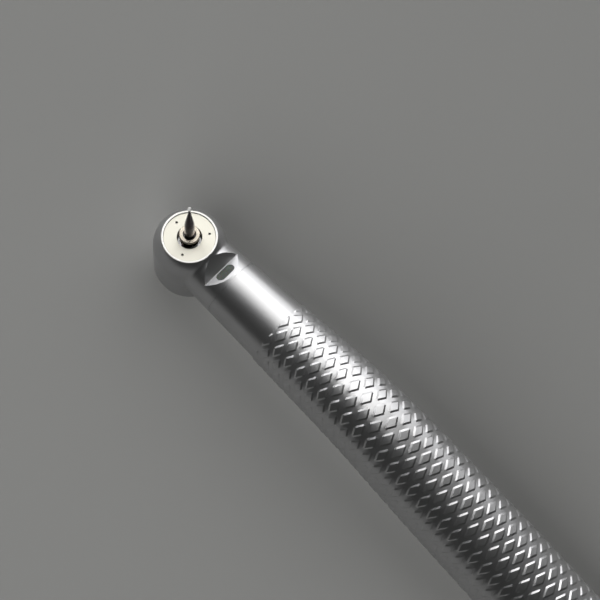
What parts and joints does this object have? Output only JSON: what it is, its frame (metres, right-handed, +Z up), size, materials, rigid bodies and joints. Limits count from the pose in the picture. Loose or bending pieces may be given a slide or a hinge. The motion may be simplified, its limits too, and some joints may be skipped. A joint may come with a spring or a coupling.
{
  "type": "high speed dental handpiece",
  "caption": "Slim bent dental turbine handpiece lying on its back: barrel head with a bur and spray face, notched neck with a light window, diamond-knurled grip and hose connector.",
  "frame": {"origin": "middle of the underside of the bounding box, with the handpiece laid on its back as in the picture", "axes": "+Z up with the bur pointing up, +X from the head to the tail, Y across the handle"},
  "size_m": [0.1238, 0.0152, 0.0249],
  "materials": {
    "head_shell": "satin",
    "face_white": "satin",
    "cap": "satin",
    "bearing_steel": "polished",
    "ceramic_ball": "polished",
    "cage_resin": "matt",
    "seal_rubber": "matt",
    "spring_steel": "satin",
    "spindle_steel": "satin",
    "nose_steel": "satin",
    "bush_bronze": "satin",
    "impeller_alloy": "satin",
    "bur_steel": "polished",
    "button_steel": "satin",
    "guide_glass": "polished",
    "grip_steel": "satin",
    "sleeve_steel": "satin",
    "tube_steel": "satin",
    "led_lens": "polished",
    "led_board": "gloss",
    "holder_plastic": "matt",
    "copper": "satin",
    "magnet": "satin",
    "core_alloy": "satin",
    "connector_steel": "satin"
  },
  "bodies": {
    "handle": {"head_neck_shell": "head_shell", "face_plate": "face_white", "head_cap": "cap", "front_outer_race": "bearing_steel", "front_o_ring": "seal_rubber", "rear_outer_race": "bearing_steel", "rear_o_ring": "seal_rubber", "preload_wave_washer": "spring_steel", "button_spring": "spring_steel", "light_guide": "guide_glass", "grip_sleeve": "grip_steel", "grip_front_seal": "seal_rubber", "rear_sleeve": "sleeve_steel", "drive_air_tube": "tube_steel", "water_tube": "tube_steel", "chip_air_tube": "tube_steel", "led_emitter": "led_lens", "led_board": "led_board", "led_holder": "holder_plastic", "led_wires": "copper", "generator_housing": "impeller_alloy", "stator_coil": "copper", "generator_front_bush": "bush_bronze", "generator_rear_bush": "bush_bronze", "rear_core": "core_alloy", "connector_body": "connector_steel", "drive_air_inlet": "tube_steel", "exhaust_outlet": "tube_steel", "water_inlet": "tube_steel", "chip_air_inlet": "tube_steel"},
    "rotor": {"spindle": "spindle_steel", "spindle_nose": "nose_steel", "impeller": "impeller_alloy", "front_inner_race": "bearing_steel", "rear_inner_race": "bearing_steel", "collet_chuck": "spindle_steel", "release_spring": "spring_steel"},
    "front_balls": {"front_bearing_balls": "ceramic_ball", "front_bearing_cage": "cage_resin"},
    "rear_balls": {"rear_bearing_balls": "ceramic_ball", "rear_bearing_cage": "cage_resin"},
    "button": {"push_button": "button_steel"},
    "release": {"release_pin": "spindle_steel"},
    "bur": {"bur": "bur_steel"},
    "generator_rotor": {"generator_shaft": "spindle_steel", "generator_magnet": "magnet", "generator_vane_wheel": "holder_plastic"}
  },
  "joints": [
    {"name": "rotor_spin", "type": "hinge", "parent": "handle", "child": "rotor", "pos_m": [-0.05579, 0, 0.00904], "axis": [-0.2345, 0, 0.9721], "continuous": true},
    {"name": "front_cage_spin", "type": "hinge", "parent": "handle", "child": "front_balls", "pos_m": [-0.05629, 0, 0.01109], "axis": [-0.2345, 0, 0.9721], "continuous": true},
    {"name": "rear_cage_spin", "type": "hinge", "parent": "handle", "child": "rear_balls", "pos_m": [-0.05501, 0, 0.00578], "axis": [-0.2345, 0, 0.9721], "continuous": true},
    {"name": "button_press", "type": "slide", "parent": "handle", "child": "button", "axis": [-0.2345, 0, 0.9721], "range_m": [0, 0.0006], "stiffness_N_per_m": 300, "springref_m": -0.001, "deforming": ["button_spring"]},
    {"name": "release_push", "type": "slide", "parent": "rotor", "child": "release", "axis": [-0.2345, 0, 0.9721], "range_m": [0, 0.0006], "deforming": ["release_spring"]},
    {"name": "bur_withdraw", "type": "slide", "parent": "rotor", "child": "bur", "axis": [-0.2345, 0, 0.9721], "range_m": [0, 0.01]},
    {"name": "generator_spin", "type": "hinge", "parent": "handle", "child": "generator_rotor", "pos_m": [0.01945, 0, 0.00744], "axis": [0.9946, 0, -0.1035], "continuous": true}
  ],
  "couplings": [
    {"joint": "front_cage_spin", "follows": "rotor_spin", "ratio": 0.4034},
    {"joint": "rear_cage_spin", "follows": "rotor_spin", "ratio": 0.4034},
    {"joint": "release_push", "follows": "button_press", "ratio": 1}
  ]
}
